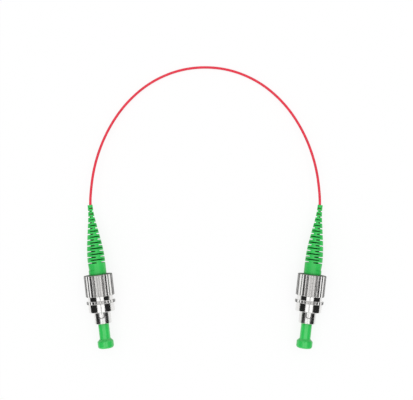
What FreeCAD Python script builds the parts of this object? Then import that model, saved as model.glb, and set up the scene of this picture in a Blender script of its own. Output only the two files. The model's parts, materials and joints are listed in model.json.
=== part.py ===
import FreeCAD, Part
import math
import os
from FreeCAD import Placement, Rotation, Vector

# A short fibre patch cord lying on a table: one thin cord in an arch, with the same screw-coupled plug on
# each end. Millimetres, +Z up, origin on the table in the middle of the two plugs.
# A plug is modelled on its own axis. Its z runs from the boot's tip, at 0, to the end of the dust cap, and
# its x points to the side with the key, which faces up when the plug is laid down.

# Where the plugs lie
plug_tilt = 6.5
tip_to_tip = 80.6

# Cord, with the points of its left half as they lie on the table
cord_dia = 0.9
cord_in_backpost = 2.6
cord_lead = 3.5
cord_arch = [
    (-38.0, 42.5, 4.4), (-34.3, 51.6, 2.9), (-28.1, 61.3, 1.4), (-18.6, 69.4, 0.6), (-6.6, 73.9, 0.5),
]
cord_arc_share = 0.45

# Boot: moulded strain relief, slotted crosswise so that it bends
boot_length = 26.0
boot_tip_dia = 1.76
boot_base_dia = 6.1
boot_taper_from = 2.9
boot_taper_to = 16.5
boot_tip_ease = 2.5
boot_base_ease = 4.0
boot_cord_gap = 0.15
boot_in_nut = 1.5
boot_roll = 24.0
slot_count = 20
slot_pitch = 1.0
slot_width = 0.4
slot_from = 1.2
top_web_share = 0.5
side_web_share = 0.28
dent_length = 2.4
dent_depth = 0.22
dent_angle = 100.0
dent_to_base = 3.1

# Backpost: rear body that holds the cord and the boot
barrel_dia = 3.9
barrel_length = 4.6
backpost_flange_length = 1.0
spigot_length = 1.5

# Plug frame: tube with a key, and the collar that the nut pulls on
skirt_length = 2.0
collar_length = 1.6
tube_dia = 5.85
tube_length = 11.0
tube_bore_dia = 4.8
tube_bore_depth = 4.1
tube_edge = 0.12
cavity_dia = 4.5
web_thickness = 1.2
key_width = 1.8
key_length = 5.1
key_height = 0.52
key_to_front = 1.9

# Coupling nut: knurled stock with a neck and a front band turned down, threaded inside
nut_length = 13.2
grip_dia = 10.0
grip_length = 7.5
neck_dia = 8.8
neck_length = 1.3
rim_length = 1.3
band_dia = 9.1
band_round = 0.3
nut_edge = 0.15
flute_count = 28
flute_depth = 0.3
flute_angle = 90.0
thread_minor_dia = 7.2
thread_chamfer = 0.35
lip_length = 2.0
lip_gap = 0.25
collar_gap = 0.1
stop_gap = 0.1

# Snap ring in the nut's inside groove
ring_thickness = 0.6
ring_bite = 0.4
ring_slack = 0.08
ring_tube_gap = 0.225
ring_opening = 2.4

# Ferrule, its flange, its spring and the bare glass
ferrule_dia = 2.5
ferrule_length = 10.5
ferrule_stickout = 3.2
ferrule_gap = 0.1
ferrule_chamfer = 0.35
ferrule_chamfer_length = 0.7
ferrule_funnel_dia = 0.9
ferrule_funnel_length = 1.0
polish_angle = 8.0
glass_dia = 0.125
glass_to_cord = 1.3
flange_head_dia = 4.2
flange_head_length = 1.5
flange_tail_dia = 2.8
flange_tail_length = 5.3
flange_bore_dia = 1.0
flange_tail_gap = 0.2
flange_tail_room = 1.0
spring_wire_dia = 0.45
spring_dia = 3.6
spring_turns = 6

# Dust cap
stem_dia = 3.78
stem_in_tube = 2.6
stem_shown = 5.4
cone_length = 0.9
head_dia = 5.6
head_length = 2.5
head_round = 0.9
cap_ease = 0.25
cap_bore_gap = 0.05
cap_air = 1.0

# Stations along a plug, from the boot's tip
nut_back = boot_length - boot_in_nut
nut_front = nut_back + nut_length
barrel_back = boot_length - barrel_length
frame_back = boot_length + backpost_flange_length
spigot_front = frame_back + spigot_length
collar_back = frame_back + skirt_length
collar_front = collar_back + collar_length
tube_front = collar_front + tube_length
web_front = tube_front - tube_bore_depth
web_back = web_front - web_thickness
head_back = web_back - flange_head_length
tail_back = head_back - flange_tail_length
ferrule_tip = tube_front + ferrule_stickout
ferrule_back = ferrule_tip - ferrule_length
cord_end = barrel_back + cord_in_backpost
cap_open = tube_front - stem_in_tube
stem_end = tube_front + stem_shown
cap_end = stem_end + cone_length + head_length
lip_front = nut_back + lip_length
ring_back = collar_front + stop_gap
ring_front = ring_back + ring_thickness

# Fits
cord_r = cord_dia / 2
boot_bore_r = cord_r + boot_cord_gap
lip_r = boot_base_dia / 2 + lip_gap
thread_r = thread_minor_dia / 2
collar_r = thread_r - collar_gap
ring_r = thread_r + ring_bite
ring_bore_r = tube_dia / 2 + ring_tube_gap
groove_r = ring_r + ring_slack
ferrule_r = ferrule_dia / 2
cap_bore_r = ferrule_r + cap_bore_gap

axis = Vector(0, 0, 1)


def eased_edges(points, setbacks):
    """Straight runs through the points, with a tangent arc at each inner one that begins its setback away."""
    edges = []
    start = points[0]
    for before, corner, after, setback in zip(points, points[1:], points[2:], setbacks):
        if setback == 0:
            edges.append(Part.LineSegment(start, corner).toShape())
            start = corner
            continue
        way_in = (corner - before).normalize()
        way_out = (after - corner).normalize()
        half_turn = way_in.getAngle(way_out) / 2
        inward = (way_out - way_in).normalize()
        sagitta = setback / math.tan(half_turn) * (1 / math.cos(half_turn) - 1)
        arc_start = corner - way_in * setback
        arc_end = corner + way_out * setback
        edges.append(Part.LineSegment(start, arc_start).toShape())
        edges.append(Part.Arc(arc_start, corner + inward * sagitta, arc_end).toShape())
        start = arc_end
    edges.append(Part.LineSegment(start, points[-1]).toShape())
    return edges


def turned_face(outline):
    """Closed section beside the axis. A corner is (radius, height), with its arc's setback if it has one."""
    points = [Vector(corner[0], 0, corner[1]) for corner in outline]
    setbacks = [corner[2] if len(corner) > 2 else 0 for corner in outline]
    return Part.Face(Part.Wire(eased_edges(points + points[:1], setbacks[1:])))


def turned(outline):
    """Solid turned about the plug's axis from a section."""
    return turned_face(outline).revolve(Vector(), axis, 360)


def boot_radius(height):
    """Outside radius of the boot's straight taper, held between its tip and its base."""
    share = (height - boot_taper_from) / (boot_taper_to - boot_taper_from)
    share = min(max(share, 0), 1)
    return (boot_tip_dia + share * (boot_base_dia - boot_tip_dia)) / 2


def boot_slots():
    """Pairs of slots that leave a web across the boot, by turns from above and below and from the sides."""
    slots = []
    for level in range(slot_count):
        middle = slot_from + level * slot_pitch
        share, turn = ((top_web_share, 0), (side_web_share, 90))[level % 2]
        corner = Vector(share * boot_radius(middle), -boot_base_dia, middle - slot_width / 2)
        for half in (0, 180):
            slot = Part.makeBox(boot_base_dia, 2 * boot_base_dia, slot_width, corner)
            slot.rotate(Vector(), axis, turn + half)
            slots.append(slot)
    return slots


def boot_dent():
    """Shallow dent in one side of the base, sloping in towards the nut."""
    outer = boot_base_dia / 2
    deep_end = boot_length - dent_to_base
    section = turned_face([
        (outer, deep_end - dent_length),
        (outer + dent_depth, deep_end - dent_length),
        (outer + dent_depth, deep_end),
        (outer - dent_depth, deep_end),
    ])
    dent = section.revolve(Vector(), axis, dent_angle)
    dent.rotate(Vector(), axis, -dent_angle / 2)
    return dent


def boot(side):
    """Tapered boot with a cord hole, a socket for the backpost, slots and a dent, rolled on its axis."""
    body = turned([
        (boot_bore_r, 0),
        (boot_tip_dia / 2, 0),
        (boot_tip_dia / 2, boot_taper_from, boot_tip_ease),
        (boot_base_dia / 2, boot_taper_to, boot_base_ease),
        (boot_base_dia / 2, boot_length),
        (barrel_dia / 2, boot_length),
        (barrel_dia / 2, barrel_back),
        (boot_bore_r, barrel_back),
    ])
    dent = boot_dent()
    dent.rotate(Vector(), axis, -side * 90)
    body = body.cut(boot_slots() + [dent])
    body.rotate(Vector(), axis, side * boot_roll)
    return body


def backpost(side):
    """Barrel in the boot, flange between boot and frame, and spigot in the frame, hollow for the cord."""
    flange_r = boot_base_dia / 2
    tail_room_r = flange_tail_dia / 2 + flange_tail_gap
    return turned([
        (cord_r, barrel_back),
        (barrel_dia / 2, barrel_back),
        (barrel_dia / 2, boot_length),
        (flange_r, boot_length),
        (flange_r, frame_back),
        (cavity_dia / 2, frame_back),
        (cavity_dia / 2, spigot_front),
        (tail_room_r, spigot_front),
        (tail_room_r, spigot_front - flange_tail_room),
        (cord_r, spigot_front - flange_tail_room),
    ])


def key():
    """Tongue along the top of the tube with a round front end, its top turned to the key's own radius."""
    half = key_width / 2
    front = tube_front - key_to_front
    floor = (tube_bore_dia + tube_dia) / 4
    reach = tube_dia / 2 + key_height
    back = front - key_length
    tongue = Part.makeBox(reach, key_width, key_length - half, Vector(floor, -half, back))
    nose = Part.makeCylinder(half, reach, Vector(floor, 0, front - half), Vector(1, 0, 0))
    limit = Part.makeCylinder(reach, key_length, Vector(0, 0, back), axis)
    return tongue.fuse(nose).common(limit)


def plug_frame(side):
    """Tube with its key, a web that guides the ferrule, the nut's collar and a skirt over the backpost."""
    tube_r = tube_dia / 2
    skirt_r = boot_base_dia / 2
    guide_r = ferrule_r + ferrule_gap
    body = turned([
        (cavity_dia / 2, frame_back),
        (skirt_r, frame_back),
        (skirt_r, collar_back),
        (collar_r, collar_back),
        (collar_r, collar_front),
        (tube_r, collar_front),
        (tube_r, tube_front - tube_edge),
        (tube_r - tube_edge, tube_front),
        (tube_bore_dia / 2, tube_front),
        (tube_bore_dia / 2, web_front),
        (guide_r, web_front),
        (guide_r, web_back),
        (cavity_dia / 2, web_back),
    ])
    return body.fuse(key()).removeSplitter()


def knurled_stock():
    """Bar with straight V flutes all round, long enough for the whole nut."""
    root_r = grip_dia / 2 - flute_depth
    half_step = math.pi / flute_count
    half_flute = math.radians(flute_angle) / 2
    crest_r = root_r * math.sin(half_flute) / math.sin(half_flute - half_step)
    points = []
    for flute in range(flute_count):
        for radius, angle in ((crest_r, 2 * flute * half_step), (root_r, (2 * flute + 1) * half_step)):
            points.append(Vector(radius * math.cos(angle), radius * math.sin(angle), nut_back))
    return Part.Face(Part.makePolygon(points + points[:1])).extrude(axis * nut_length)


def coupling_nut(side):
    """Nut cut from the knurled bar: grip, neck, rim and plain band, with lip, ring groove and thread bore."""
    grip_r = grip_dia / 2
    neck_r = neck_dia / 2
    band_r = band_dia / 2
    grip_front = nut_back + grip_length
    rim_back = grip_front + neck_length
    rim_front = rim_back + rim_length
    groove_back = ring_back - ring_slack
    groove_front = ring_front + ring_slack
    blank = turned([
        (lip_r, nut_back),
        (grip_r - nut_edge, nut_back),
        (grip_r, nut_back + nut_edge),
        (grip_r, grip_front - nut_edge),
        (grip_r - nut_edge, grip_front),
        (neck_r, grip_front),
        (neck_r, rim_back),
        (grip_r - nut_edge, rim_back),
        (grip_r, rim_back + nut_edge),
        (grip_r, rim_front - nut_edge),
        (grip_r - nut_edge, rim_front),
        (band_r, rim_front),
        (band_r, nut_front, band_round),
        (thread_r + thread_chamfer, nut_front),
        (thread_r, nut_front - thread_chamfer),
        (thread_r, groove_front),
        (groove_r, groove_front),
        (groove_r, groove_back),
        (thread_r, groove_back),
        (thread_r, lip_front),
        (lip_r, lip_front),
    ])
    return blank.common(knurled_stock())


def nut_ring(side):
    """Open snap ring that sits in the nut's groove and stops against the front of the frame's collar."""
    ring = turned([
        (ring_bore_r, ring_back),
        (ring_r, ring_back),
        (ring_r, ring_front),
        (ring_bore_r, ring_front),
    ])
    opening = Part.makeBox(ring_r, ring_opening, ring_thickness, Vector(0, -ring_opening / 2, ring_back))
    return ring.cut(opening)


def spring(side):
    """Coil spring from the backpost's spigot to the ferrule's flange."""
    wire_r = spring_wire_dia / 2
    height = head_back - spigot_front - spring_wire_dia
    helix = Part.makeHelix(height / spring_turns, height, spring_dia / 2)
    middle = Vector(spring_dia / 2, 0, 0)
    thirds = [Part.makeCircle(wire_r, middle, Vector(0, 1, 0), turn, turn + 120) for turn in (0, 120, 240)]
    coil = Part.Wire(helix).makePipeShell([Part.Wire(thirds)], True, True)
    coil.translate(Vector(0, 0, spigot_front + wire_r))
    return coil


def polish_tool():
    """Block beyond the ferrule's sloped end face."""
    size = 4 * ferrule_dia
    block = Part.makeBox(size, size, size, Vector(-size / 2, -size / 2, ferrule_tip))
    block.rotate(Vector(0, 0, ferrule_tip), Vector(0, 1, 0), polish_angle)
    return block


def ferrule(side):
    """Ceramic rod with a hole for the glass, a funnel at its back and a sloped, chamfered end face."""
    face_r = ferrule_r - ferrule_chamfer
    front = ferrule_tip + face_r * math.tan(math.radians(polish_angle))
    funnel_r = ferrule_funnel_dia / 2
    rod = turned([
        (funnel_r, ferrule_back),
        (ferrule_r, ferrule_back),
        (ferrule_r, front - ferrule_chamfer_length),
        (face_r, front),
        (glass_dia / 2, front),
        (glass_dia / 2, ferrule_back + ferrule_funnel_length),
    ])
    return rod.cut(polish_tool())


def bare_fiber(side):
    """Stripped glass from just ahead of the cord's end to the ferrule's polished face."""
    start = cord_end + glass_to_cord
    glass = Part.makeCylinder(glass_dia / 2, ferrule_tip + ferrule_dia - start, Vector(0, 0, start), axis)
    return glass.cut(polish_tool())


def ferrule_flange(side):
    """Flanged sleeve pressed on the back of the ferrule, with a tail inside the spring."""
    return turned([
        (flange_bore_dia / 2, tail_back),
        (flange_tail_dia / 2, tail_back),
        (flange_tail_dia / 2, head_back),
        (flange_head_dia / 2, head_back),
        (flange_head_dia / 2, web_back),
        (ferrule_r, web_back),
        (ferrule_r, ferrule_back),
        (flange_bore_dia / 2, ferrule_back),
    ])


def dust_cap(side):
    """Push-on cap: a hollow stem over the ferrule, a short cone and a wider solid head with a rounded end."""
    bore_floor = ferrule_tip + cap_air
    return turned([
        (cap_bore_r, cap_open),
        (stem_dia / 2, cap_open),
        (stem_dia / 2, stem_end, cap_ease),
        (head_dia / 2, stem_end + cone_length, cap_ease),
        (head_dia / 2, cap_end, head_round),
        (0, cap_end),
        (0, bore_floor),
        (cap_bore_r, bore_floor),
    ])


def plug_placement(side):
    """Where a plug lies: on its nut, key up, nose leaning in. side is -1 on the left and 1 on the right."""
    lean_x = math.sin(math.radians(plug_tilt))
    lean_y = math.cos(math.radians(plug_tilt))
    cap_reach = (cap_end - head_round) * lean_y + (head_dia / 2 - head_round) * lean_x + head_round
    tip_y = (cap_reach - boot_tip_dia / 2 * lean_x) / 2
    up = Vector(0, 0, 1)
    nose = Vector(-side * lean_x, -lean_y, 0)
    place = Vector(side * tip_to_tip / 2, tip_y, grip_dia / 2)
    return Placement(place, Rotation(up, nose.cross(up), nose, "ZXY"))


def cord_route():
    """Points of the cord, from its end in the left plug, out of the boot, round the arch to the other."""
    held = [Vector(0, 0, cord_end), Vector(0, 0, -cord_lead)]
    arch = [Vector(*point) for point in cord_arch]
    left = [plug_placement(-1).multVec(point) for point in held] + arch
    right = [Vector(-point.x, point.y, point.z) for point in reversed(left)]
    return left + right


def fiber_cord():
    """Round tube along the route, each corner on an arc as large as its runs allow."""
    points = cord_route()
    runs = [(b - a).Length for a, b in zip(points, points[1:])]
    setbacks = [cord_arc_share * min(pair) for pair in zip(runs, runs[1:])]
    path = Part.Wire(eased_edges(points, setbacks))
    section = Part.Face(Part.Wire(Part.makeCircle(cord_r, points[0], points[1] - points[0])))
    tube = path.makePipe(section)
    radii = [edge.Curve.Radius for edge in path.Edges if isinstance(edge.Curve, Part.Circle)]
    print("cord runs", [round(run, 1) for run in runs])
    print("cord arc radii", [round(radius, 1) for radius in radii])
    print("cord length", round(path.Length, 2))
    print("cord volume over section times length", tube.Volume / (section.Area * path.Length))
    return tube


plug_pieces = [
    boot, backpost, plug_frame, coupling_nut, nut_ring, spring, ferrule_flange, ferrule, bare_fiber, dust_cap,
]

os.makedirs("parts", exist_ok=True)
fiber_cord().exportStep("parts/fiber_cord.step")
for side, name in ((-1, "left"), (1, "right")):
    matrix = plug_placement(side).toMatrix()
    for make in plug_pieces:
        shape = make(side).transformed(matrix, copy=True)
        shape.exportStep(f"parts/{name}_{make.__name__}.step")
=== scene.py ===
"""Looks of a short fibre patch cord: a thin red cord in an arch, with a green-booted plug on each end.

Lengths are in metres, in the frame of the solids. A plug has axes of its own: x points up, to the side with
the key, z runs along the plug from the boot's tip to the nose, and y is square to both.
"""
import json
import math

import bmesh
import bpy
import numpy as np
from bpy.props import FloatProperty, FloatVectorProperty, IntProperty, PointerProperty
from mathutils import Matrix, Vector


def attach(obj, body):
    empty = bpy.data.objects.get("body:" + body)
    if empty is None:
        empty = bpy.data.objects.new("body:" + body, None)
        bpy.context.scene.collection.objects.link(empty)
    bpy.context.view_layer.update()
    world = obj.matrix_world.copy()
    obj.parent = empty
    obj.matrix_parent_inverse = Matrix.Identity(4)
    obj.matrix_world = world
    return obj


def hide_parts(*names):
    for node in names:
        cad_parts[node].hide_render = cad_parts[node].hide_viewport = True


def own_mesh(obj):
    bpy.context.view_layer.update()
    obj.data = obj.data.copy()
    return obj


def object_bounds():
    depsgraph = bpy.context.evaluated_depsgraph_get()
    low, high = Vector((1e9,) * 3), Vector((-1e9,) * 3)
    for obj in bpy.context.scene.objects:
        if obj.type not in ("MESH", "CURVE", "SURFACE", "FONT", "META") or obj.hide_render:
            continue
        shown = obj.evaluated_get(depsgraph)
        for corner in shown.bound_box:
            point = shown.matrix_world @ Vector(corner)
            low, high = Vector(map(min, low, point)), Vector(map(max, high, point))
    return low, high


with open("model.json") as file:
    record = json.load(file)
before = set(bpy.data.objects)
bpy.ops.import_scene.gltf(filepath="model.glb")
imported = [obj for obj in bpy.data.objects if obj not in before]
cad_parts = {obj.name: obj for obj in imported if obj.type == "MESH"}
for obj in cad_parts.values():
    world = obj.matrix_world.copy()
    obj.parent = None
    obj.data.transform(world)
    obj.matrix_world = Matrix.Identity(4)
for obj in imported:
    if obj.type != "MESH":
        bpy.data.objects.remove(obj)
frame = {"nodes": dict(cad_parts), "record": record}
cad_low, cad_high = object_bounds()

bl_info = {
    "name": "Fibre Patch Cord",
    "version": (1, 0, 0),
    "blender": (4, 5, 0),
    "location": "3D View > Sidebar > Patch Cord",
    "description": "Dresses the solids of a short fibre patch cord and sets up its studio",
    "category": "Object",
}

mm = 0.001
plug_sides = {"left": -1, "right": 1}
weld_distance = 0.0001 * mm
sharp_angle = math.radians(38)
place_attribute = "place_in_plug"
# Attribute that paints shade on a piece, and on the nut's knurl partly makes the plating duller too
shade_and_dull_attribute = "shade_and_dullness"

# A point near each end of a straight side lies this far in, but at most this share of the side
side_step = 0.06 * mm
side_share = 0.3

# Stations along a plug, from the boot's tip
nut_back = 24.5 * mm
frame_back = 27.0 * mm
collar_back = 29.0 * mm
collar_front = 30.6 * mm
web_back = 36.3 * mm
web_front = 37.5 * mm
tube_front = 41.6 * mm
cap_open = 39.0 * mm
cord_end = 24.0 * mm

# Points of the cord's left half, by the boot's tip and then on the table to the top of the arch. By the tip
# and in the first part of the arch they are moved a little, so that the cord leaves the boot as in the photo.
cord_lead = 3.5 * mm
cord_lean = mm * np.array((0, -0.15, 0.43))
cord_arch = mm * np.array([
    (-38.76, 39.8, 4.4), (-34.7, 51.1, 2.9), (-28.1, 61.3, 1.4), (-18.6, 69.4, 0.6), (-6.6, 73.9, 0.5),
])


def length(name, description, default):
    """Property that holds a length."""
    return FloatProperty(name=name, description=description, default=default, unit="LENGTH", precision=6)


def angle(name, description, default):
    """Property that holds an angle."""
    return FloatProperty(name=name, description=description, default=default, unit="ROTATION")


def share(name, description, default):
    """Property that holds a share from 0 to 1."""
    return FloatProperty(name=name, description=description, default=default, min=0, max=1, subtype="FACTOR")


def colour(name, description, default):
    """Property that holds a colour."""
    return FloatVectorProperty(
        name=name, description=description, default=default, min=0, max=1, subtype="COLOR",
    )


class CordSettings(bpy.types.PropertyGroup):
    """Red cord."""

    diameter: length("Diameter", "Across the jacket", 0.9 * mm)
    jacket: colour("Jacket", "Colour of the jacket", (0.79, 0.014, 0.048))
    # Painted shade: over this run into each boot, the jacket is painted dark
    painted_shade_run: length("Dark run", "How far into the boots the cord gets dark", 0.6 * mm)


class BootSettings(bpy.types.PropertyGroup):
    """Slotted strain relief."""

    length: length("Length", "From tip to base", 26.0 * mm)
    tip_diameter: length("Tip diameter", "Across the tip", 1.76 * mm)
    base_diameter: length("Base diameter", "Across the base", 6.1 * mm)
    taper_from: length("Taper from", "Where the taper starts, from the tip", 2.9 * mm)
    taper_to: length("Taper to", "Where the taper ends, from the tip", 16.5 * mm)
    tip_ease: length("Tip ease", "Setback of the curve at the taper's start", 2.5 * mm)
    base_ease: length("Base ease", "Setback of the curve at the taper's end", 4.0 * mm)
    bore_diameter: length("Bore", "Hole for the cord", 1.2 * mm)
    socket_diameter: length("Socket", "Hole for the backpost", 3.9 * mm)
    socket_depth: length("Socket depth", "Depth of the backpost's hole", 4.6 * mm)
    slot_count: IntProperty(name="Slots", description="Levels of slots", default=20)
    slot_from: length("First slot", "Middle of the first slot, from the tip", 1.2 * mm)
    slot_pitch: length("Slot pitch", "From slot to slot", 1.0 * mm)
    slot_width: length("Slot width", "Along the boot", 0.4 * mm)
    # Painted shade in the slots: this far down a slot, two thirds of the colour is lost
    painted_shade_depth: length("Dull depth", "How far down a slot two thirds of its colour are lost", 0.5 * mm)
    top_web: share("Top web", "Half width of the web left by slots from above, as a share of the radius", 0.5)
    side_web: share("Side web", "Half width of the web left by slots from the sides", 0.28)
    edge_round: length("Edge round", "Radius of the moulded edges", 0.06 * mm)
    dent_length: length("Dent length", "Along the boot", 2.4 * mm)
    dent_depth: length("Dent depth", "At the end next to the nut", 0.22 * mm)
    dent_to_base: length("Dent to base", "From the deep end to the base", 3.1 * mm)
    dent_angle: angle("Dent angle", "Round the boot", math.radians(100))
    # Painted shade at the foot of the dent's deep end, over the dent foot's share
    dent_foot: share("Dent foot", "Share of the dent along which its deep end gets dull", 0.1)
    dent_fade: share("Dent fade", "How gently the dent ends round the boot, in the angle's sine", 0.06)
    dent_painted_shade: share("Dent dullness", "How dull the foot of the dent's deep end is", 0.4)
    roll: angle("Roll", "Turn about the plug's axis", math.radians(24))
    # Painted shade on the part of the boot that the nut shuts in
    shut_length: length("Shut length", "Along the part that the nut shuts in", 0.7 * mm)
    shut_painted_shade: share("Shut dullness", "How dull the boot gets there", 0.55)
    green: colour("Green", "Colour of the moulding", (0.024, 0.54, 0.083))


class NutSettings(bpy.types.PropertyGroup):
    """Knurled coupling nut."""

    length: length("Length", "From rear face to front face", 13.05 * mm)
    grip_diameter: length("Grip diameter", "Across the knurled grip", 10.0 * mm)
    grip_length: length("Grip length", "Along the knurled grip", 7.5 * mm)
    neck_diameter: length("Neck diameter", "Across the neck", 8.8 * mm)
    neck_length: length("Neck length", "Along the neck", 1.5 * mm)
    rim_length: length("Rim length", "Along the thin knurled rim", 1.1 * mm)
    band_diameter: length("Band diameter", "Across the plain front band", 9.1 * mm)
    lip_diameter: length("Lip diameter", "Hole in the rear lip", 6.6 * mm)
    lip_length: length("Lip length", "Along the rear lip", 2.0 * mm)
    edge: length("Edge", "Chamfer of the knurled edges", 0.15 * mm)
    edge_soft: share("Edge softness", "Setback of the curves at corners, as a share of the chamfer", 0.4)
    band_round: length("Band round", "Setback of the front edge's curve", 0.3 * mm)
    flute_count: IntProperty(name="Flutes", description="Straight flutes round the grip", default=28)
    flute_width: length("Flute width", "Across a flute's mouth", 0.56 * mm)
    flute_depth: length("Flute depth", "Below the grip's diameter", 0.3 * mm)
    flute_spread: share("Flute spread", "How much the flutes differ in depth", 0.2)
    # The knurl is painted darker and made rougher: partly a duller knurl, partly painted shade
    grip_dull_and_shade: share("Grip dullness", "How dull the lands between flutes are", 0.38)
    flute_dull_and_shade: share("Flute dullness", "How dull the flutes are", 0.0)
    scratch_dull: share("Scratches", "How much the lines along the knurled bands differ", 0.15)
    roll: angle("Roll", "Turn of the flutes about the plug's axis", math.radians(4.4))
    # Painted shade: the rear face and most of its chamfer are painted dark and matt
    rear_painted_shade: share("Rear dullness", "How dull the rear face is", 1)
    rear_edge: share("Rear edge", "Share of the rear chamfer that is as dull as the rear face", 0.9)
    thread_diameter: length("Thread diameter", "Across the thread's crests", 7.2 * mm)
    thread_depth: length("Thread depth", "From crest to root", 0.4 * mm)
    thread_pitch: length("Thread pitch", "From crest to crest", 0.75 * mm)
    thread_flat: share("Thread flat", "Share of the thread's wave cut off at crest and at root", 0.1875)
    groove_diameter: length("Groove diameter", "Across the snap ring's groove", 8.16 * mm)
    groove_back: length("Groove", "Back of the groove, from the boot's tip", 30.62 * mm)
    groove_length: length("Groove length", "Along the groove", 0.76 * mm)


class TubeSettings(bpy.types.PropertyGroup):
    """Plug frame: tube with its key, collar and skirt."""

    skirt_diameter: length("Skirt diameter", "Across the skirt", 6.1 * mm)
    collar_diameter: length("Collar diameter", "Across the nut's collar", 7.0 * mm)
    tube_diameter: length("Tube diameter", "Across the tube", 5.85 * mm)
    bore_diameter: length("Bore diameter", "Across the tube's front bore", 4.8 * mm)
    guide_diameter: length("Guide diameter", "Hole in the web, for the ferrule", 2.7 * mm)
    cavity_diameter: length("Cavity diameter", "Room for the spring", 4.5 * mm)
    edge: length("Edge", "Chamfer of the tube's front edge", 0.12 * mm)
    key_width: length("Key width", "Across the key", 1.8 * mm)
    key_length: length("Key length", "Along the key", 5.1 * mm)
    key_height: length("Key height", "Above the tube", 0.52 * mm)
    key_slope: length("Key slope", "Width of the key's sloped sides", 0.3 * mm)
    # Painted shade on the key's sloped sides and on the tube beside them
    key_foot: length("Key foot", "How far the tube is dull beside the key", 0.4 * mm)
    key_painted_shade: share("Key dullness", "How dull the key's sloped sides are", 0.7)
    key_to_front: length("Key to front", "From the key's nose to the tube's front", 1.9 * mm)


class CapSettings(bpy.types.PropertyGroup):
    """Dust cap."""

    stem_diameter: length("Stem diameter", "Across the stem", 3.78 * mm)
    stem_length: length("Stem length", "From the open end to the cone", 8.0 * mm)
    cone_length: length("Cone length", "From stem to head", 0.9 * mm)
    head_diameter: length("Head diameter", "Across the head", 5.6 * mm)
    head_length: length("Head length", "Along the head", 2.5 * mm)
    head_round: length("Head round", "Setback of the end's curve", 0.9 * mm)
    ease: length("Ease", "Setback of the curves at the cone", 0.25 * mm)
    bore_diameter: length("Bore", "Hole for the ferrule", 2.6 * mm)
    bore_depth: length("Bore depth", "From the open end", 6.8 * mm)
    rim_round: share("Rim round", "Setback of the open end's curves, as a share of the wall", 0.25)
    # Painted shade in the hollow between stem and head
    cone_painted_shade: share("Cone dullness", "How dull the hollow between stem and head is", 0.2)
    green: colour("Green", "Colour of the moulding", (0.02, 0.57, 0.088))


class FinishSettings(bpy.types.PropertyGroup):
    """Metal, ceramic and glass."""

    nickel: colour("Nickel", "Plating of the nuts and frames", (0.81, 0.802, 0.79))
    # Colour that paints shade on the plating, and on the knurl partly a duller finish
    shade_and_dull_nickel: colour("Dull nickel", "Plating where it is dullest", (0.22, 0.21, 0.205))
    steel: colour("Steel", "Plain metal inside the plugs", (0.57, 0.56, 0.54))
    ceramic: colour("Ceramic", "Ferrules", (0.89, 0.8825, 0.85))
    glass: colour("Glass", "Bare fibre", (0.935, 0.955, 0.975))


class StageSettings(bpy.types.PropertyGroup):
    """Floor, light and camera."""

    camera_x: length("Camera X", "Place of the camera across the plugs", 0.49 * mm)
    camera_y: length("Camera Y", "Place of the camera along the plugs", 26.86 * mm)
    camera_height: length("Camera height", "Above the floor", 340 * mm)
    lens: FloatProperty(name="Lens", description="Focal length in millimetres", default=83.4, unit="CAMERA")
    floor_size: length("Floor size", "Side of the floor", 6.0)
    softbox_size: length("Softbox size", "Side of the overhead light", 1.5)
    softbox_height: length("Softbox height", "Above the floor", 1.2)
    softbox_gap: length("Softbox gap", "Between the overhead light's halves", 0.1)
    softbox_power: FloatProperty(
        name="Softbox power", description="Power of each half", default=4.1, unit="POWER",
    )
    card_gap: length("Card gap", "From the overhead light up to the dark card behind it", 0.01)
    fill: FloatProperty(name="Fill", description="Strength of the even light from all round", default=0.7)
    wall_reach: length("Wall reach", "From the middle to the dark card far off on each side", 0.86)
    wall_top: length("Wall top", "Upper edge of the far cards", 1.3)
    strip_reach: length("Strip reach", "From the middle to the low dark card beside each plug", 0.068)
    strip_top: length("Strip top", "Upper edge of the low cards", 0.012)
    floor_white: share("Floor white", "Share of plain white in what is seen of the floor", 0.84)
    paper: share("Paper", "How much light the floor throws back", 0.93)
    card_black: share("Card black", "How bright the dark cards are", 0.02)


def rounded(corners, steps=6):
    """Points of a section through corners (radius, height) or (radius, height, setback).

    A corner with a setback s becomes an arc tangent to both sides that begins s before it. With u and v the
    ways in and out, h half the turn and n the normal to u on v's side, the arc is
    centre + s / tan h * (u sin a - n cos a) for a from 0 to 2 h. A point near each end of a straight side
    keeps its shading flat.
    """
    pieces = [np.array([corners[0][:2]])]
    for before, corner, after in zip(corners, corners[1:], corners[2:]):
        point = np.array(corner[:2])
        if len(corner) == 2:
            pieces.append(point[None])
            continue
        way_in = point - before[:2]
        way_in = way_in / np.linalg.norm(way_in)
        way_out = np.array(after[:2]) - point
        way_out = way_out / np.linalg.norm(way_out)
        normal = way_out - way_in * (way_in @ way_out)
        normal = normal / np.linalg.norm(normal)
        turn = math.acos(np.clip(way_in @ way_out, -1, 1))
        radius = corner[2] / math.tan(turn / 2)
        middle = point - way_in * corner[2] + normal * radius
        angles = np.linspace(0, turn, steps)[:, None]
        pieces.append(middle + radius * (way_in * np.sin(angles) - normal * np.cos(angles)))
    pieces.append(np.array([corners[-1][:2]]))
    points = np.concatenate(pieces)
    runs = np.diff(points, axis=0)
    sizes = np.linalg.norm(runs, axis=1, keepdims=True)
    steps_in = runs * np.minimum(side_step / np.maximum(sizes, weld_distance), side_share)
    with_sides = np.stack((points[:-1], points[:-1] + steps_in, points[1:] - steps_in), axis=1).reshape(-1, 2)
    return np.concatenate((with_sides, points[-1:]))


def rings(radius, height, angles):
    """Points (r cos a, r sin a, z): row i has radius r[i, j] and height z[i], column j has angle a[j]."""
    height = np.broadcast_to(np.reshape(height, (-1, 1)), radius.shape)
    return np.stack((radius * np.cos(angles), radius * np.sin(angles), height), axis=2)


def turned(section, around):
    """Rings of a section turned about the plug's axis."""
    angles = np.linspace(0, 2 * math.pi, around, endpoint=False)
    radius = np.broadcast_to(section[:, :1], (len(section), around))
    return rings(radius, section[:, 1], angles)


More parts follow.
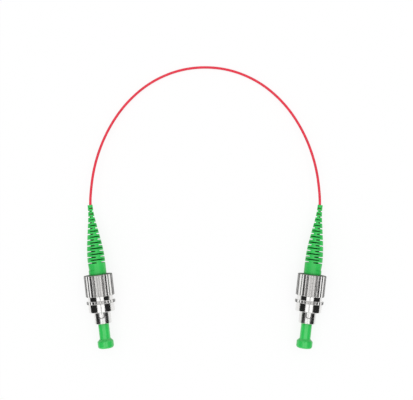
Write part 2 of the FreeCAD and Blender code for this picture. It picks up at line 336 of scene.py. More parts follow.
def plug_place(name):
    """Where a plug is: the tip of its boot, and its x, y and z axes as rows."""
    mount = next(mount for mount in frame["record"]["mounts"] if mount["name"] == f"{name}_plug")
    nose = np.array(mount["axis"])
    up = np.array((0.0, 0.0, 1.0))
    axes = np.array((up, np.cross(nose, up), nose))
    return np.array(mount["pos_m"]) - nose * tube_front, axes


def ring_object(name, points, place, closed, dull=None, keep=None):
    """Object whose quads join each ring of points to the next, and each point to the next one round its ring.

    closed joins the last ring to the first, and keep says which quads are made. Points that coincide become
    one, which closes seams and poles. The points' places along the plug are kept as an attribute for the
    finishes, and so is dull, the painted shade, from 0 on a plain outside to 1 deep in a slot, which on the
    nut's knurl partly stands for a duller finish.
    """
    rows, around = points.shape[:2]
    index = np.arange(rows * around).reshape(rows, around)
    ahead = np.roll(index, -1, axis=0)
    quads = np.stack((index, np.roll(index, -1, axis=1), np.roll(ahead, -1, axis=1), ahead), axis=2)
    made = np.ones((rows, around), bool) if keep is None else keep.copy()
    made[-1] &= closed
    used, faces = np.unique(quads[made], return_inverse=True)
    origin, axes = place
    mesh = bpy.data.meshes.new(name)
    corners = points.reshape(-1, 3)[used] @ axes + origin
    mesh.from_pydata(corners.tolist(), [], faces.reshape(-1, 4).tolist())
    shade_and_dullness = np.zeros(len(used)) if dull is None else dull.ravel()[used]
    mesh.attributes.new(shade_and_dull_attribute, "FLOAT", "POINT").data.foreach_set("value", shade_and_dullness)
    build = bmesh.new()
    build.from_mesh(mesh)
    bmesh.ops.remove_doubles(build, verts=build.verts, dist=weld_distance)
    bmesh.ops.recalc_face_normals(build, faces=build.faces)
    build.to_mesh(mesh)
    build.free()
    mesh.shade_smooth()
    mesh.set_sharp_from_angle(angle=sharp_angle)
    coordinates = np.empty(len(mesh.vertices) * 3)
    mesh.vertices.foreach_get("co", coordinates)
    local = (coordinates.reshape(-1, 3) - origin) @ axes.T
    mesh.attributes.new(place_attribute, "FLOAT_VECTOR", "POINT").data.foreach_set("vector", local.ravel())
    piece = bpy.data.objects.new(name, mesh)
    bpy.context.scene.collection.objects.link(piece)
    return piece


def dress(piece, material, body, node):
    """Gives a piece its finish and the body that it rides on, in place of a solid."""
    piece.data.materials.append(material)
    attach(piece, body)
    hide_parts(node)


# Finishes

def empty_tree(owner):
    """Node tree of a material or world, with nothing in it."""
    owner.use_nodes = True
    owner.node_tree.nodes.clear()
    return owner.node_tree


def new_finish(name):
    """Material with its node tree and its shader."""
    material = bpy.data.materials.get(name) or bpy.data.materials.new(name)
    tree = empty_tree(material)
    shader = tree.nodes.new("ShaderNodeBsdfPrincipled")
    output = tree.nodes.new("ShaderNodeOutputMaterial")
    tree.links.new(shader.outputs["BSDF"], output.inputs["Surface"])
    return material, tree, shader


def noise(tree, source, scale, detail=2.0, dimensions="3D"):
    """Noise of a vector or, in one dimension, of a value, which gives lines square to it."""
    made = tree.nodes.new("ShaderNodeTexNoise")
    made.noise_dimensions = dimensions
    made.inputs["Scale"].default_value = scale
    made.inputs["Detail"].default_value = detail
    tree.links.new(source, made.inputs["W" if dimensions == "1D" else "Vector"])
    return made.outputs["Fac"]


def object_place(tree):
    """Object coordinates."""
    return tree.nodes.new("ShaderNodeTexCoord").outputs["Object"]


def kept(tree, name, output):
    """Attribute kept with a piece's points."""
    made = tree.nodes.new("ShaderNodeAttribute")
    made.attribute_name = name
    return made.outputs[output]


def along(tree, vector, part):
    """One part of a vector."""
    made = tree.nodes.new("ShaderNodeSeparateXYZ")
    tree.links.new(vector, made.inputs["Vector"])
    return made.outputs[part]


def ranged(tree, value, low, high, target, start=0.3, end=0.7):
    """Node that spreads a value, or the middle of a noise, from low to high on a socket."""
    made = tree.nodes.new("ShaderNodeMapRange")
    made.inputs["From Min"].default_value = start
    made.inputs["From Max"].default_value = end
    made.inputs["To Min"].default_value = low
    made.inputs["To Max"].default_value = high
    tree.links.new(value, made.inputs["Value"])
    tree.links.new(made.outputs["Result"], target)
    return made


def tinted(tree, value, low, high, target):
    """Mixes two colours by a noise on a colour socket."""
    made = tree.nodes.new("ShaderNodeMix")
    made.data_type = "RGBA"
    made.inputs["A"].default_value = (*low, 1)
    made.inputs["B"].default_value = (*high, 1)
    ranged(tree, value, 0, 1, made.inputs["Factor"])
    tree.links.new(made.outputs["Result"], target)


def painted_darkening(tree, dark, shader):
    """Mixes the shader's colour towards a dark one, which paints shade, and gives the socket that says by how
    much.
    """
    made = tree.nodes.new("ShaderNodeMix")
    made.data_type = "RGBA"
    base = shader.inputs["Base Color"]
    tree.links.new(base.links[0].from_socket, made.inputs["A"])
    made.inputs["B"].default_value = (*dark, 1)
    tree.links.new(made.outputs["Result"], base)
    return made.inputs["Factor"]


def bumped(tree, height, strength, shader, distance=0.01 * mm):
    """Raises a surface by a noise."""
    made = tree.nodes.new("ShaderNodeBump")
    made.inputs["Strength"].default_value = strength
    made.inputs["Distance"].default_value = distance
    tree.links.new(height, made.inputs["Height"])
    tree.links.new(made.outputs["Normal"], shader.inputs["Normal"])


def shade(base, factor):
    """A colour made lighter or darker."""
    return tuple(min(part * factor, 1) for part in base)


def moulded_plastic(name, base, gloss, smooth, rough):
    """Moulded plastic: faint flow marks in the colour, painted shade in the slots and hollows, uneven gloss
    and a fine grain.
    """
    material, tree, shader = new_finish(name)
    place = object_place(tree)
    tinted(tree, noise(tree, place, 260), shade(base, 0.94), shade(base, 1.05), shader.inputs["Base Color"])
    shade_and_dullness = kept(tree, shade_and_dull_attribute, "Fac")
    # Painted shade: the colour goes to a dark green and the gloss goes away where the shade attribute is high
    tree.links.new(shade_and_dullness, painted_darkening(tree, shade(base, 0.06), shader))
    ranged(tree, shade_and_dullness, gloss, 0, shader.inputs["Specular IOR Level"], 0, 1)
    ranged(tree, noise(tree, place, 1800), smooth, rough, shader.inputs["Roughness"])
    bumped(tree, noise(tree, place, 9000, 3), 0.15, shader)
    return material


def red_jacket(name, base, tip_y, painted_shade_run):
    """Extruded cord jacket: smooth and slightly glossy, with painted shade that makes it dark inside the
    boots.
    """
    material, tree, shader = new_finish(name)
    place = object_place(tree)
    tinted(tree, noise(tree, place, 420), shade(base, 0.92), shade(base, 1.06), shader.inputs["Base Color"])
    # Painted shade: the jacket goes dark over the last run into each boot
    painted_shade_shut_in = painted_darkening(tree, shade(base, 0.2), shader)
    ranged(tree, along(tree, place, "Y"), 1, 0, painted_shade_shut_in, tip_y - painted_shade_run, tip_y)
    ranged(tree, noise(tree, place, 2400), 0.34, 0.46, shader.inputs["Roughness"])
    bumped(tree, noise(tree, place, 7000, 2), 0.1, shader)
    return material


def nickel_plate(name, finish, smooth, rough):
    """Bright plated metal with fine turning lines round the plug's axis, faint smears and a rough knurl.

    Where the shade attribute is high it is painted dark and matt: painted shade on the nut's rear face and
    the key's sides, and on the knurl partly a duller finish as well.
    """
    material, tree, shader = new_finish(name)
    place = kept(tree, place_attribute, "Vector")
    smear = noise(tree, place, 600, 4)
    tinted(tree, smear, shade(finish.nickel, 0.963), shade(finish.nickel, 1.037), shader.inputs["Base Color"])
    shade_and_dullness = kept(tree, shade_and_dull_attribute, "Fac")
    # Painted shade: towards the dark colour, less metal and rougher where the shade attribute is high
    tree.links.new(shade_and_dullness, painted_darkening(tree, finish.shade_and_dull_nickel, shader))
    ranged(tree, shade_and_dullness, 1, 0, shader.inputs["Metallic"], 0.75, 1)
    gloss = ranged(tree, shade_and_dullness, smooth, 0.6, shader.inputs["Roughness"], 0, 1)
    ranged(tree, smear, smooth, rough, gloss.inputs["To Min"])
    bumped(tree, noise(tree, along(tree, place, "Z"), 14000, 3, "1D"), 0.06, shader)
    shader.inputs["Specular IOR Level"].default_value = 0
    return material


def turned_steel(name, base):
    """Plain machined metal inside the plug."""
    material, tree, shader = new_finish(name)
    place = object_place(tree)
    grain = noise(tree, place, 2200, 4)
    tinted(tree, grain, shade(base, 0.877), shade(base, 1.123), shader.inputs["Base Color"])
    ranged(tree, grain, 0.22, 0.36, shader.inputs["Roughness"])
    bumped(tree, noise(tree, place, 12000, 2), 0.08, shader)
    shader.inputs["Metallic"].default_value = 1
    return material


def white_ceramic(name, base):
    """Polished white ceramic."""
    material, tree, shader = new_finish(name)
    cloud = noise(tree, object_place(tree), 900)
    tinted(tree, cloud, shade(base, 0.963), shade(base, 1.037), shader.inputs["Base Color"])
    ranged(tree, cloud, 0.1, 0.18, shader.inputs["Roughness"])
    shader.inputs["Coat Weight"].default_value = 0.4
    return material


def clear_glass(name, base):
    """Bare glass fibre."""
    material, tree, shader = new_finish(name)
    place = object_place(tree)
    tinted(tree, noise(tree, place, 900), shade(base, 0.97), shade(base, 1.03), shader.inputs["Base Color"])
    ranged(tree, noise(tree, place, 6000), 0.02, 0.06, shader.inputs["Roughness"])
    shader.inputs["Transmission Weight"].default_value = 1
    shader.inputs["IOR"].default_value = 1.46
    return material


# Pieces

class PATCHCORD_OT_cord(bpy.types.Operator):
    """Lays the red cord from plug to plug on one smooth curve"""

    bl_idname = "patch_cord.cord"
    bl_label = "Cord"

    def execute(self, context):
        settings = context.scene.patch_cord_cord
        tip, axes = plug_place("left")
        stations = np.array((cord_end, cord_lead, -cord_lead))
        by_tip = tip + stations[:, None] * axes[2] - cord_lean[:, None] * axes[1]
        left = np.concatenate((by_tip, cord_arch))
        route = np.concatenate((left, left[::-1] * (-1, 1, 1)))
        curve = bpy.data.curves.new("red_cord", "CURVE")
        curve.dimensions = "3D"
        spline = curve.splines.new("NURBS")
        spline.points.add(len(route) - 1)
        spline.points.foreach_set("co", np.column_stack((route, np.ones(len(route)))).ravel())
        spline.order_u = 3
        spline.use_endpoint_u = True
        spline.resolution_u = 24
        curve.bevel_depth = settings.diameter / 2
        curve.bevel_resolution = 6
        curve.use_fill_caps = True
        cord = bpy.data.objects.new("red_cord", curve)
        context.scene.collection.objects.link(cord)
        jacket = red_jacket("red_jacket", settings.jacket, tip[1], settings.painted_shade_run)
        dress(cord, jacket, "base", "fiber_cord")
        return {"FINISHED"}


def boot_surface(boot, side, around=160, edge_steps=3):
    """Rings of a slotted boot, the shade painted on them, and which of their quads are made.

    The outside is r(a, z) = max(min(w / |cos(a - b)|, R), R - inset), clear of the cord's bore. R(z) is the
    eased taper, and inset follows a quarter round at each edge and the whole depth in a slot, whose floor is
    the pair of planes w from the axis, turned a quarter from each level to the next. A dent slopes in near
    the base. The bore repeats the outside's rows, so where a slot opens into it, quads are left out of both
    and their edges meet. Shade is painted on a point at depth e by 1 - exp(-e / e0), and a little at the foot
    of the dent's deep end and next to the nut.
    """
    tip_radius = boot.tip_diameter / 2
    base_radius = boot.base_diameter / 2
    socket_radius = boot.socket_diameter / 2
    bore = boot.bore_diameter / 2
    edge = boot.edge_round
    turn = np.linspace(0, math.pi / 2, edge_steps)
    round_rise = edge * np.sin(turn)
    round_inset = edge * (1 - np.cos(turn))
    taper = rounded([
        (tip_radius, 0),
        (tip_radius, boot.taper_from, boot.tip_ease),
        (base_radius, boot.taper_to, boot.base_ease),
        (base_radius, boot.length),
    ], steps=24)

    half = boot.slot_width / 2
    level = np.arange(boot.slot_count)
    middles = boot.slot_from + boot.slot_pitch * level
    slot_rise = np.concatenate((round_rise - half - edge, [-half, half], half + edge - round_rise[::-1]))
    slot_inset = np.concatenate((round_inset, [base_radius, base_radius], round_inset[::-1]))
    straight = np.interp(middles, (boot.taper_from, boot.taper_to), (tip_radius, base_radius))
    shares = np.where(level % 2, boot.side_web, boot.top_web)
    webs = np.repeat(shares * straight, len(slot_rise))
    quarters = np.repeat(level % 2, len(slot_rise)) * math.pi / 2

    dent_end = boot.length - boot.dent_to_base
    dent_foot = dent_end - boot.dent_foot * boot.dent_length
    plain_height = (
        dent_end - boot.dent_length, dent_foot, dent_end, dent_end, nut_back - boot.shut_length, nut_back,
    )
    base_height = np.concatenate((plain_height, boot.length - edge + round_rise))
    base_inset = np.concatenate((np.zeros(len(plain_height)), round_inset))

    height = np.concatenate((edge - round_rise[::-1], (middles[:, None] + slot_rise).ravel(), base_height))
    inset = np.concatenate((round_inset[::-1], np.tile(slot_inset, boot.slot_count), base_inset))
    slotted = len(height) - len(base_height)
    dent = np.zeros(len(height))
    dent[slotted + 1:slotted + 3] = boot.dent_depth * np.array((1 - boot.dent_foot, 1))
    web = np.full(len(height), base_radius)
    web[edge_steps:slotted] = webs
    lean = np.zeros(len(height))
    lean[edge_steps:slotted] = quarters

    angles = np.linspace(0, 2 * math.pi, around, endpoint=False)
    outside = np.interp(height, taper[:, 1], taper[:, 0])[:, None]
    floor = np.minimum(web[:, None] / np.maximum(np.abs(np.cos(angles - lean[:, None])), 1e-6), outside)
    in_dent = -side * np.sin(angles) - math.cos(boot.dent_angle / 2)
    dent_window = np.clip(in_dent / boot.dent_fade + 0.5, 0, 1)
    slotted_radius = np.maximum(np.maximum(floor, outside - inset[:, None]), bore)
    radius = slotted_radius - dent[:, None] * dent_window
    # Painted shade next to the nut
    painted_shade_shut_in = boot.shut_painted_shade * np.clip((height - nut_back) / boot.shut_length + 1, 0, 1)
    # Painted shade, stronger deeper down in the slots
    dull = np.maximum(1 - np.exp((slotted_radius - outside) / boot.painted_shade_depth), painted_shade_shut_in[:, None])
    # Painted shade at the foot of the dent's deep end
    dull[slotted + 2] = boot.dent_painted_shade * dent_window

    socket_floor = boot.length - boot.socket_depth
    inner_radius = np.concatenate(((socket_radius, socket_radius, bore), np.full(slotted, bore)))
    inner_height = np.concatenate(((boot.length, socket_floor, socket_floor), height[:slotted][::-1]))
    inner = np.broadcast_to(inner_radius[:, None], (len(inner_radius), around))
    through = radius[:slotted] <= bore
    through &= np.roll(through, -1, axis=1)
    open_quads = through[:-1] & through[1:]
    keep = np.ones((len(radius) + len(inner), around), bool)
    keep[:slotted - 1] &= ~open_quads
    keep[-slotted:-1] &= ~open_quads[::-1]
    heights = np.concatenate((height, inner_height))
    points = rings(np.concatenate((radius, inner)), heights, angles + side * boot.roll)
    return points, np.clip(np.concatenate((dull, np.ones(inner.shape))), 0, 1), keep


class PATCHCORD_OT_boots(bpy.types.Operator):
    """Makes both slotted boots"""

    bl_idname = "patch_cord.boots"
    bl_label = "Boots"

    def execute(self, context):
        boot = context.scene.patch_cord_boot
        green = moulded_plastic("boot_green", boot.green, gloss=0.5, smooth=0.36, rough=0.46)
        for name, side in plug_sides.items():
            points, dull, keep = boot_surface(boot, side)
            piece = ring_object(f"{name}_slotted_boot", points, plug_place(name), True, dull, keep)
            dress(piece, green, "base", f"{name}_boot")
        return {"FINISHED"}


def wander(index, first, second, phase):
    """Uneven value from 0 to 1 for each index: 0.5 + 0.25 sin(first i) + 0.25 sin(second i + phase)."""
    return 0.5 + 0.25 * np.sin(first * index) + 0.25 * np.sin(second * index + phase)


def nut_surface(nut, side, rows_per_pitch=8):
    """Rings of a knurled nut, and the shade painted on them, which on the knurl is partly a duller finish.

    The outside is r(a, z) = min(section(z), R - d max(0, 1 - |b| / h)), where b is the angle from the middle
    of the nearest flute, h is half the angle of its mouth, and its depth d wanders a little from flute to
    flute. In the bore the thread adds a triangle wave of z / pitch - a / (2 pi), cut flat at crest and root,
    which fades out over one pitch at each end. The knurled rows are painted darker and rougher in lines,
    partly as a duller knurl and partly as painted shade, less so down in the flutes, and the rear face gets
    the most painted shade.
    """
    grip = nut.grip_diameter / 2
    neck = nut.neck_diameter / 2
    band = nut.band_diameter / 2
    lip = nut.lip_diameter / 2
    crest = nut.thread_diameter / 2
    groove = nut.groove_diameter / 2
    edge = nut.edge
    soft = nut.edge_soft * edge
    grip_front = nut_back + nut.grip_length
    rim_back = grip_front + nut.neck_length
    rim_front = rim_back + nut.rim_length
    front = nut_back + nut.length
    groove_front = nut.groove_back + nut.groove_length
    lip_front = nut_back + nut.lip_length
    lead_in = nut.thread_depth
    outside = rounded([
        (lip, nut_back),
        (grip - edge, nut_back, soft),
        (grip, nut_back + edge, soft),
        (grip, grip_front - edge, soft),
        (grip - edge, grip_front, soft),
        (neck, grip_front, soft),
        (neck, rim_back, soft),
        (grip - edge, rim_back, soft),
        (grip, rim_back + edge, soft),
        (grip, rim_front - edge, soft),
        (grip - edge, rim_front, soft),
        (band, rim_front, soft),
        (band, front, nut.band_round),
        (crest + lead_in, front, soft),
        (crest, front - lead_in),
    ], steps=4)
    thread_run = front - lead_in - groove_front
    thread_rows = int(rows_per_pitch * thread_run / nut.thread_pitch)
    thread_height = np.linspace(front - lead_in, groove_front, thread_rows)
    inside = np.array([
        (groove, groove_front),
        (groove, nut.groove_back),
        (crest, nut.groove_back),
        (crest, lip_front),
        (lip, lip_front),
    ])
    radius = np.concatenate((outside[:, 0], np.full(thread_rows, crest), inside[:, 0]))
    height = np.concatenate((outside[:, 1], thread_height, inside[:, 1]))

    flute = np.arange(nut.flute_count)[:, None]
    pitch = 2 * math.pi / nut.flute_count
    half_mouth = nut.flute_width / nut.grip_diameter
    in_flute = half_mouth * np.linspace(-1, 1, 5)
    on_land = half_mouth + (pitch - 2 * half_mouth) * np.array((0.1, 0.5, 0.9))
    from_middle = np.concatenate((in_flute, on_land))
    angles = (pitch * flute + from_middle).ravel() + side * nut.roll
    depth = nut.flute_depth * (1 - nut.flute_spread * wander(flute, 2.4, 5.3, 1))
    fluted = grip - depth * np.maximum(1 - np.abs(from_middle) / half_mouth, 0)
    around_radius = np.minimum(radius[:, None], fluted.ravel())

    # Knurl painted darker and rougher: partly a duller finish, partly painted shade
    levels = np.repeat((nut.flute_dull_and_shade, nut.grip_dull_and_shade), (len(in_flute), len(on_land)))
    scratches = wander(np.arange(len(angles)), 1.7, 0.9, 2)
    knurl_dull_and_shade = np.tile(levels, nut.flute_count) + nut.scratch_dull * scratches
    dull = np.where((radius > band)[:, None], knurl_dull_and_shade, 0)
    # Painted shade on the rear face
    dull[height < nut_back + nut.rear_edge * edge] = nut.rear_painted_shade

    fade = np.minimum(thread_height[0] - thread_height, thread_height - thread_height[-1]) / nut.thread_pitch
    phase = thread_height[:, None] / nut.thread_pitch - angles / (2 * math.pi)
    wave = 1 - np.abs(2 * (phase % 1) - 1)
    cut_wave = np.clip((wave - nut.thread_flat) / (1 - 2 * nut.thread_flat), 0, 1)
    rows = slice(len(outside), len(outside) + thread_rows)
    around_radius[rows] += nut.thread_depth * cut_wave * np.clip(fade, 0, 1)[:, None]
    return rings(around_radius, height, angles), np.clip(dull, 0, 1)


class PATCHCORD_OT_nuts(bpy.types.Operator):
    """Makes both knurled nuts, with the thread inside"""

    bl_idname = "patch_cord.nuts"
    bl_label = "Nuts"

    def execute(self, context):
        nickel = nickel_plate("nut_nickel", context.scene.patch_cord_finish, smooth=0.1, rough=0.17)
        for name, side in plug_sides.items():
            points, dull = nut_surface(context.scene.patch_cord_nut, side)
            piece = ring_object(f"{name}_knurled_nut", points, plug_place(name), True, dull)
            dress(piece, nickel, f"{name}_nut", f"{name}_coupling_nut")
        return {"FINISHED"}


def tube_surface(tube, around=96, key_rows=90, key_columns=64, key_reach=1.35):
    """Rings of a plug frame with its key, and the shade painted on them.

    The section is turned, and on the tube the key adds its height times a smooth step of d, the distance
    inside a tongue with a round nose: d = w / 2 - sqrt(y^2 + max(z - z0, 0)^2). Rows and columns are close
    together there, the columns over key_reach times the key's angle. Shade is painted on the slope up to its
    middle, and on the tube close beside it.
    """
    skirt = tube.skirt_diameter / 2
    collar = tube.collar_diameter / 2
    outer = tube.tube_diameter / 2
    bore = tube.bore_diameter / 2
    guide = tube.guide_diameter / 2
    cavity = tube.cavity_diameter / 2
    edge = tube.edge
    half_key = tube.key_width / 2
    key_front = tube_front - tube.key_to_front
    key_back = key_front - tube.key_length
    before = rounded([
        (cavity, frame_back),
        (skirt, frame_back),
        (skirt, collar_back),
        (collar, collar_back, edge),
        (collar, collar_front, edge),
        (outer, collar_front),
        (outer, key_back),
    ])
    key_height = np.linspace(key_back, key_front, key_rows)
    after = rounded([
        (outer, key_front),
        (outer, tube_front, edge),
        (bore, tube_front, 0.5 * edge),
        (bore, web_front),
        (guide, web_front),
        (guide, web_back),
        (cavity, web_back),
    ])
    radius = np.concatenate((before[:, 0], np.full(key_rows, outer), after[:, 0]))
    height = np.concatenate((before[:, 1], key_height, after[:, 1]))
    reach = key_reach * math.asin(half_key / outer)
    angles = np.concatenate((
        np.linspace(-reach, reach, key_columns, endpoint=False),
        np.linspace(reach, 2 * math.pi - reach, around, endpoint=False),
    ))
    side = outer * np.sin(angles)
    top = np.cos(angles) > 0
    ahead = np.maximum(key_height - (key_front - half_key), 0)
    inside = half_key - np.sqrt(side ** 2 + ahead[:, None] ** 2)
    step = np.clip(inside / tube.key_slope, 0, 1)
    around_radius = np.repeat(radius[:, None], len(angles), axis=1)
    rows = slice(len(before), len(before) + key_rows)
    around_radius[rows] += tube.key_height * top * step * step * (3 - 2 * step)
    # Painted shade on the key's slopes and the tube beside them
    dull = np.zeros(around_radius.shape)
    painted_shade_from = (-tube.key_foot, 0, tube.key_slope / 2, tube.key_slope)
    dull[rows] = tube.key_painted_shade * top * np.interp(inside, painted_shade_from, (0, 1, 1, 0))
    return rings(around_radius, height, angles), dull


class PATCHCORD_OT_frames(bpy.types.Operator):
    """Makes both plug frames: tube, key, collar and skirt"""

    bl_idname = "patch_cord.frames"
    bl_label = "Plug frames"

    def execute(self, context):
        nickel = nickel_plate("tube_nickel", context.scene.patch_cord_finish, smooth=0.2, rough=0.28)
        points, dull = tube_surface(context.scene.patch_cord_tube)
        for name in plug_sides:
            piece = ring_object(f"{name}_keyed_tube", points, plug_place(name), True, dull)
            dress(piece, nickel, "base", f"{name}_plug_frame")
        return {"FINISHED"}


def cap_surface(cap, around=112):
    """Rings of a dust cap, and the shade painted on them.

    The section is turned, from the bore's floor to the open end and on to the head. Shade is painted a
    little in the hollow of its cone.
    """
    stem = cap.stem_diameter / 2
    head = cap.head_diameter / 2
    bore = cap.bore_diameter / 2
    stem_end = cap_open + cap.stem_length
    head_back = stem_end + cap.cone_length
    end = head_back + cap.head_length
    rim = cap.rim_round * (stem - bore)
    section = rounded([
        (0, cap_open + cap.bore_depth),
        (bore, cap_open + cap.bore_depth),
        (bore, cap_open, rim),
        (stem, cap_open, rim),
        (stem, stem_end, cap.ease),
        (head, head_back, cap.ease),
        (head, end, cap.head_round),
        (0, end),
    ], steps=10)
    points = turned(section, around)
    from_cone = np.abs(points[:, :, 2] - stem_end - cap.cone_length / 2) / cap.cone_length
    return points, cap.cone_painted_shade * np.interp(from_cone, (0.25, 0.75), (1, 0))


class PATCHCORD_OT_caps(bpy.types.Operator):
    """Makes both dust caps"""

    bl_idname = "patch_cord.caps"
    bl_label = "Dust caps"

    def execute(self, context):
        cap = context.scene.patch_cord_cap
        green = moulded_plastic("cap_green", cap.green, gloss=0.85, smooth=0.27, rough=0.35)
        points, dull = cap_surface(cap)
        for name in plug_sides:
            piece = ring_object(f"{name}_green_cap", points, plug_place(name), False, dull)
            dress(piece, green, f"{name}_cap", f"{name}_dust_cap")
        return {"FINISHED"}


class PATCHCORD_OT_inner_pieces(bpy.types.Operator):
    """Gives the pieces inside the plugs their finishes, and gives each spring a mesh of its own"""

    bl_idname = "patch_cord.inner_pieces"
    bl_label = "Inner pieces"

    def execute(self, context):
        finish = context.scene.patch_cord_finish
        steel = turned_steel("turned_steel", finish.steel)
        finishes = {
            "backpost": steel,
            "nut_ring": steel,
            "spring": steel,
            "ferrule_flange": steel,
            "ferrule": white_ceramic("white_ceramic", finish.ceramic),
            "bare_fiber": clear_glass("clear_glass", finish.glass),
        }
        for name in plug_sides:
            for node, material in finishes.items():
                piece = frame["nodes"][f"{name}_{node}"]
                piece.data.materials.clear()
                piece.data.materials.append(material)
            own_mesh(frame["nodes"][f"{name}_spring"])
        return {"FINISHED"}


# Stage

def flat_card(name, corners, material):
    """Stage object of one four-cornered face."""
    mesh = bpy.data.meshes.new(name)
    mesh.from_pydata(corners, [], [(0, 1, 2, 3)])
    mesh.materials.append(material)
    card = bpy.data.objects.new(name, mesh)
    bpy.context.scene.collection.objects.link(card)
    return card


def upright(x, half, top):
    """Corners of a card that stands on the floor at one side."""
    return [(x, -half, 0), (x, half, 0), (x, half, top), (x, -half, top)]


def flat_square(half, z):
    """Corners of a level square round the middle."""
    return [(-half, -half, z), (half, -half, z), (half, half, z), (-half, half, z)]


def dark_card(name, corners, material):
    """Card that only metal and gloss show: it throws no shadow and takes no light from the rest."""
    card = flat_card(name, corners, material)
    card.visible_camera = False
    card.visible_diffuse = False
    card.visible_shadow = False
    card.visible_transmission = False


def seen_directly(tree):
    """1 for rays from the camera, a reflection or glass, and 0 for the light that falls on things."""
    path = tree.nodes.new("ShaderNodeLightPath")
    total = path.outputs["Is Camera Ray"]
    for kind in ("Is Glossy Ray", "Is Transmission Ray"):
        add = tree.nodes.new("ShaderNodeMath")
        add.operation = "MAXIMUM"
        tree.links.new(total, add.inputs[0])
        tree.links.new(path.outputs[kind], add.inputs[1])
        total = add.outputs["Value"]
    return total


def floor_finish(stage):
    """White floor that keeps the shadows, part of it plain white where it is seen."""
    material = bpy.data.materials.new("white_floor")
    tree = empty_tree(material)
    paper = tree.nodes.new("ShaderNodeBsdfDiffuse")
    paper.inputs["Color"].default_value = (stage.paper, stage.paper, stage.paper, 1)
    white = tree.nodes.new("ShaderNodeEmission")
    mix = tree.nodes.new("ShaderNodeMixShader")
    scale = tree.nodes.new("ShaderNodeMath")
    scale.operation = "MULTIPLY"
    scale.inputs[1].default_value = stage.floor_white
    output = tree.nodes.new("ShaderNodeOutputMaterial")
    tree.links.new(seen_directly(tree), scale.inputs[0])
    tree.links.new(scale.outputs["Value"], mix.inputs["Fac"])
    tree.links.new(paper.outputs["BSDF"], mix.inputs[1])
    tree.links.new(white.outputs["Emission"], mix.inputs[2])
    tree.links.new(mix.outputs["Shader"], output.inputs["Surface"])
    return material


def card_finish(bright):
    """Black card."""
    material = bpy.data.materials.new("black_card")
    tree = empty_tree(material)
    black = tree.nodes.new("ShaderNodeEmission")
    black.inputs["Color"].default_value = (bright, bright, bright, 1)
    output = tree.nodes.new("ShaderNodeOutputMaterial")
    tree.links.new(black.outputs["Emission"], output.inputs["Surface"])
    return material


def white_world(scene, fill):
    """White all round where it is seen, and an even light of the fill's strength on everything."""
    world = bpy.data.worlds.new("white_room")
    tree = empty_tree(world)
    light = tree.nodes.new("ShaderNodeBackground")
    light.inputs["Color"].default_value = (1, 1, 1, 1)
    light.inputs["Strength"].default_value = fill
    white = tree.nodes.new("ShaderNodeBackground")
    white.inputs["Color"].default_value = (1, 1, 1, 1)
    mix = tree.nodes.new("ShaderNodeMixShader")
    output = tree.nodes.new("ShaderNodeOutputWorld")
    tree.links.new(seen_directly(tree), mix.inputs["Fac"])
    tree.links.new(light.outputs["Background"], mix.inputs[1])
    tree.links.new(white.outputs["Background"], mix.inputs[2])
    tree.links.new(mix.outputs["Shader"], output.inputs["Surface"])
    scene.world = world


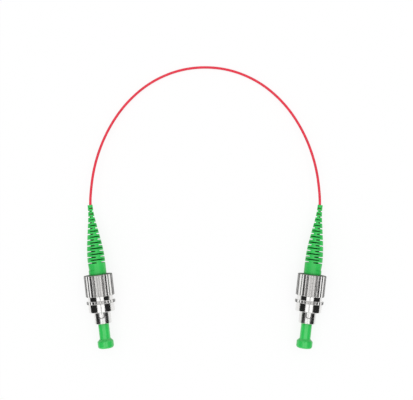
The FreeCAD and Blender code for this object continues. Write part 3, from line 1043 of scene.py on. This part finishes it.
class PATCHCORD_OT_stage(bpy.types.Operator):
    """Sets up the floor, the overhead softbox, the dark cards that metal reflects, and the camera"""

    bl_idname = "patch_cord.stage"
    bl_label = "Stage"

    def execute(self, context):
        scene = context.scene
        stage = scene.patch_cord_stage
        scene.view_settings.view_transform = "Standard"
        white_world(scene, stage.fill)

        floor = flat_square(stage.floor_size / 2, cad_low.z)
        flat_card("floor", floor, floor_finish(stage))

        black = card_finish(stage.card_black)
        reach = stage.wall_reach
        dark_card("ceiling_card", flat_square(reach, stage.softbox_height + stage.card_gap), black)
        for name, side in plug_sides.items():
            dark_card(f"far_card_{name}", upright(side * reach, reach, stage.wall_top), black)
            near = side * stage.strip_reach
            dark_card(f"low_card_{name}", upright(near, stage.strip_reach, stage.strip_top), black)

        softbox = bpy.data.lights.new("softbox", "AREA")
        softbox.shape = "RECTANGLE"
        softbox.size = (stage.softbox_size - stage.softbox_gap) / 2
        softbox.size_y = stage.softbox_size
        softbox.energy = stage.softbox_power
        for name, side in plug_sides.items():
            lamp = bpy.data.objects.new(f"softbox_{name}", softbox)
            lamp.location = (side * (softbox.size + stage.softbox_gap) / 2, 0, stage.softbox_height)
            scene.collection.objects.link(lamp)

        lens = bpy.data.cameras.new("camera")
        lens.lens = stage.lens
        lens.clip_start = 0.01
        camera = bpy.data.objects.new("camera", lens)
        camera.location = (stage.camera_x, stage.camera_y, stage.camera_height)
        scene.collection.objects.link(camera)
        scene.camera = camera
        return {"FINISHED"}


class PATCHCORD_PT_panel(bpy.types.Panel):
    """Lists the pieces of the patch cord and their sizes"""

    bl_label = "Patch Cord"
    bl_idname = "PATCHCORD_PT_panel"
    bl_space_type = "VIEW_3D"
    bl_region_type = "UI"
    bl_category = "Patch Cord"

    def draw(self, context):
        for operator, group in panel_rows:
            box = self.layout.box()
            box.operator(operator.bl_idname)
            settings = getattr(context.scene, group)
            for prop in settings.bl_rna.properties:
                if prop.identifier not in ("rna_type", "name"):
                    box.prop(settings, prop.identifier)


setting_groups = {
    "patch_cord_stage": StageSettings,
    "patch_cord_cord": CordSettings,
    "patch_cord_boot": BootSettings,
    "patch_cord_nut": NutSettings,
    "patch_cord_tube": TubeSettings,
    "patch_cord_cap": CapSettings,
    "patch_cord_finish": FinishSettings,
}
panel_rows = [
    (PATCHCORD_OT_stage, "patch_cord_stage"),
    (PATCHCORD_OT_cord, "patch_cord_cord"),
    (PATCHCORD_OT_boots, "patch_cord_boot"),
    (PATCHCORD_OT_nuts, "patch_cord_nut"),
    (PATCHCORD_OT_frames, "patch_cord_tube"),
    (PATCHCORD_OT_caps, "patch_cord_cap"),
    (PATCHCORD_OT_inner_pieces, "patch_cord_finish"),
]
classes = [*setting_groups.values(), *(operator for operator, group in panel_rows), PATCHCORD_PT_panel]


def register():
    """Makes the settings, operators and panel known to Blender."""
    for made in classes:
        bpy.utils.register_class(made)
    for name, group in setting_groups.items():
        setattr(bpy.types.Scene, name, PointerProperty(type=group))


def unregister():
    """Takes them away again."""
    for name in setting_groups:
        delattr(bpy.types.Scene, name)
    for made in reversed(classes):
        bpy.utils.unregister_class(made)


def main():
    """Builds the stage and every piece."""
    register()
    bpy.ops.patch_cord.stage()
    bpy.ops.patch_cord.cord()
    bpy.ops.patch_cord.boots()
    bpy.ops.patch_cord.nuts()
    bpy.ops.patch_cord.frames()
    bpy.ops.patch_cord.caps()
    bpy.ops.patch_cord.inner_pieces()


if __name__ == "__main__":
    main()
